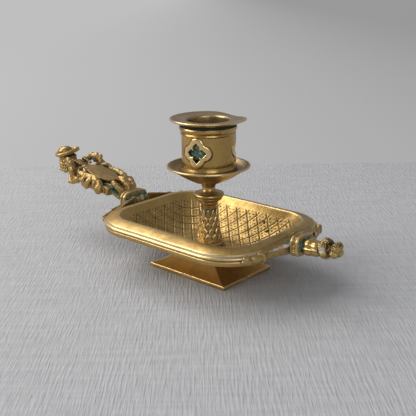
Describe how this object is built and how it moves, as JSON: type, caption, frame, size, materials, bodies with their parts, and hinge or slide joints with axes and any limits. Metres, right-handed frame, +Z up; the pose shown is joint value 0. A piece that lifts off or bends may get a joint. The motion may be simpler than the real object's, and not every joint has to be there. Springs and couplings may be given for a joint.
{
  "type": "chamberstick",
  "caption": "Brass chamberstick: rectangular foot, dished tray with moulded rim, leaf-cast stem, drip pan, candle cup with lift-out nozzle, openwork handle and berry finial.",
  "frame": {"origin": "centre of the foot's underside, on the stem axis", "axes": "+Z up along the stem, the long handle runs along -X and the berry finial along +X"},
  "size_m": [0.205, 0.0814, 0.0805],
  "materials": {
    "foot_brass": "aged, satin",
    "tray_brass": "aged, engraved, satin",
    "turned_brass": "aged, satin",
    "cast_brass": "aged, dull in the hollows, with green deposits",
    "window_brass": "aged, polished edges",
    "nozzle_brass": "aged, satin",
    "fixing_brass": "dull"
  },
  "bodies": {
    "stand": {"foot": "foot_brass", "tray": "tray_brass", "stem_bush": "turned_brass", "stem": "cast_brass", "knop": "turned_brass", "drip_pan": "turned_brass", "candle_cup": "turned_brass", "quatrefoil_1": "window_brass", "quatrefoil_2": "window_brass", "quatrefoil_3": "window_brass", "tie_rod": "fixing_brass", "tie_washer": "fixing_brass", "tie_nut": "fixing_brass", "handle_bracket": "cast_brass", "handle_collar": "cast_brass", "handle_stud": "fixing_brass", "handle_rivets": "fixing_brass", "handle": "cast_brass", "handle_plate": "cast_brass", "handle_head": "cast_brass", "finial_bracket": "cast_brass", "finial_collar": "cast_brass", "finial_stud": "fixing_brass", "finial_rivets": "fixing_brass", "finial_bud": "cast_brass", "finial_berries": "cast_brass"},
    "nozzle": {"nozzle": "nozzle_brass"}
  },
  "joints": [
    {"name": "nozzle_lift", "type": "slide", "parent": "stand", "child": "nozzle", "axis": [0, 0, 1], "range_m": [0, 0.03]}
  ]
}
